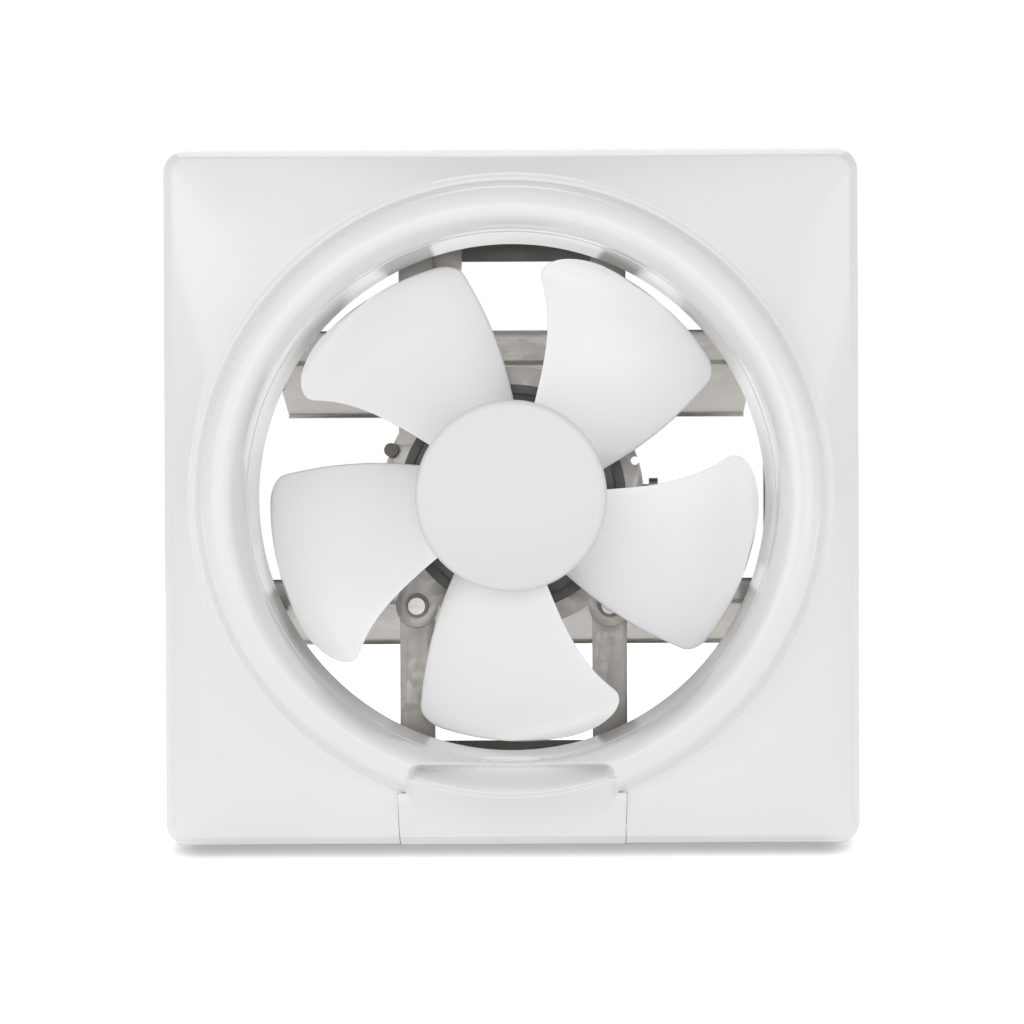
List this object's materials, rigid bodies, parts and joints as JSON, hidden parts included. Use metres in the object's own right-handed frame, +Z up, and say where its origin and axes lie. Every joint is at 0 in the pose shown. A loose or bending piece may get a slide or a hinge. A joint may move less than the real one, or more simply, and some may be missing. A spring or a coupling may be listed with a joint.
{
  "type": "wall exhaust fan",
  "caption": "Square wall exhaust fan with a clip-on bell-mouth panel, bladed impeller, plate-mounted motor and linked rear louvres.",
  "frame": {"origin": "centre of the wall screw pattern, on the fan axis, in the wall plane that the flange rests on", "axes": "+Y along the fan axis into the wall, +X to the right seen from the room, +Z up"},
  "size_m": [0.35, 0.2238, 0.35],
  "materials": {
    "white_plastic": "smooth semi-gloss",
    "white_nylon": "moulded satin",
    "galvanised_steel": "bare galvanised sheet",
    "zinc_steel": "zinc plated",
    "black_paint": "satin black",
    "core_steel": "stacked laminations",
    "enamelled_wire": "varnished wire",
    "black_rubber": "matt",
    "capacitor_case": "moulded",
    "lead_sheath": "soft sheath"
  },
  "bodies": {
    "frame": {"panel_clips": "zinc_steel", "duct_frame": "galvanised_steel", "rear_rail_top": "galvanised_steel", "rear_rail_bottom": "galvanised_steel", "side_bracket_left": "galvanised_steel", "side_bracket_right": "galvanised_steel", "pivot_pins": "zinc_steel", "pivot_clips": "zinc_steel", "stay_left": "galvanised_steel", "stay_right": "galvanised_steel", "stay_screws": "zinc_steel", "motor_plate": "galvanised_steel", "plate_grommets": "black_rubber", "plate_screws": "zinc_steel", "motor_front_shell": "black_paint", "motor_rear_shell": "black_paint", "motor_bolts": "zinc_steel", "stator_core": "core_steel", "stator_windings": "enamelled_wire", "front_bearing": "zinc_steel", "rear_bearing": "zinc_steel", "capacitor_bracket": "galvanised_steel", "capacitor": "capacitor_case", "capacitor_clamp": "galvanised_steel", "terminal_box": "galvanised_steel", "terminal_cover": "galvanised_steel", "cable_gland": "black_rubber", "motor_lead": "lead_sheath", "lead_clips": "white_nylon", "earth_screw": "zinc_steel", "actuator_bracket": "galvanised_steel", "actuator_body": "white_nylon"},
    "fan": {"motor_shaft": "zinc_steel", "rotor": "core_steel", "drive_pin": "zinc_steel", "impeller": "white_plastic", "impeller_nut": "white_nylon", "hub_cap": "white_plastic"},
    "cover": {"front_panel": "white_plastic", "bell_mouth": "white_plastic", "grip_tab": "white_plastic"},
    "top_louvre": {"louvre_upper": "galvanised_steel", "louvre_bushes_upper": "white_nylon", "push_rod_pin": "zinc_steel", "link_pin_upper": "zinc_steel"},
    "bottom_louvre": {"louvre_lower": "galvanised_steel", "louvre_bushes_lower": "white_nylon", "link_pin_lower": "zinc_steel"},
    "link": {"link_bar": "galvanised_steel"},
    "crank_set": {"actuator_shaft": "zinc_steel", "crank": "galvanised_steel"},
    "rod": {"push_rod": "galvanised_steel"}
  },
  "joints": [
    {"name": "impeller_spin", "type": "hinge", "parent": "frame", "child": "fan", "pos_m": [0, 0, 0], "axis": [0, 1, 0], "continuous": true},
    {"name": "panel_pull", "type": "slide", "parent": "frame", "child": "cover", "axis": [0, -1, 0], "range_m": [0, 0.07]},
    {"name": "louvre_upper_swing", "type": "hinge", "parent": "frame", "child": "top_louvre", "pos_m": [0, 0.112, 0.065], "axis": [1, 0, 0], "range_deg": [-72, 4]},
    {"name": "louvre_lower_swing", "type": "hinge", "parent": "frame", "child": "bottom_louvre", "pos_m": [0, 0.112, -0.065], "axis": [1, 0, 0], "range_deg": [-72, 4]},
    {"name": "link_swing", "type": "hinge", "parent": "top_louvre", "child": "link", "pos_m": [0.1358, 0.09588, 0.0531], "axis": [1, 0, 0], "range_deg": [-4, 72]},
    {"name": "actuator_turn", "type": "hinge", "parent": "frame", "child": "crank_set", "pos_m": [0.08, 0.046, 0.005], "axis": [1, 0, 0], "range_deg": [-72, 4]},
    {"name": "push_rod_swing", "type": "hinge", "parent": "crank_set", "child": "rod", "pos_m": [0.0616, 0.05919, 0.00033], "axis": [1, 0, 0], "range_deg": [-4, 72]}
  ],
  "couplings": [
    {"joint": "louvre_lower_swing", "follows": "louvre_upper_swing", "ratio": 1},
    {"joint": "link_swing", "follows": "louvre_upper_swing", "ratio": -1},
    {"joint": "actuator_turn", "follows": "louvre_upper_swing", "ratio": 1},
    {"joint": "push_rod_swing", "follows": "louvre_upper_swing", "ratio": -1}
  ]
}
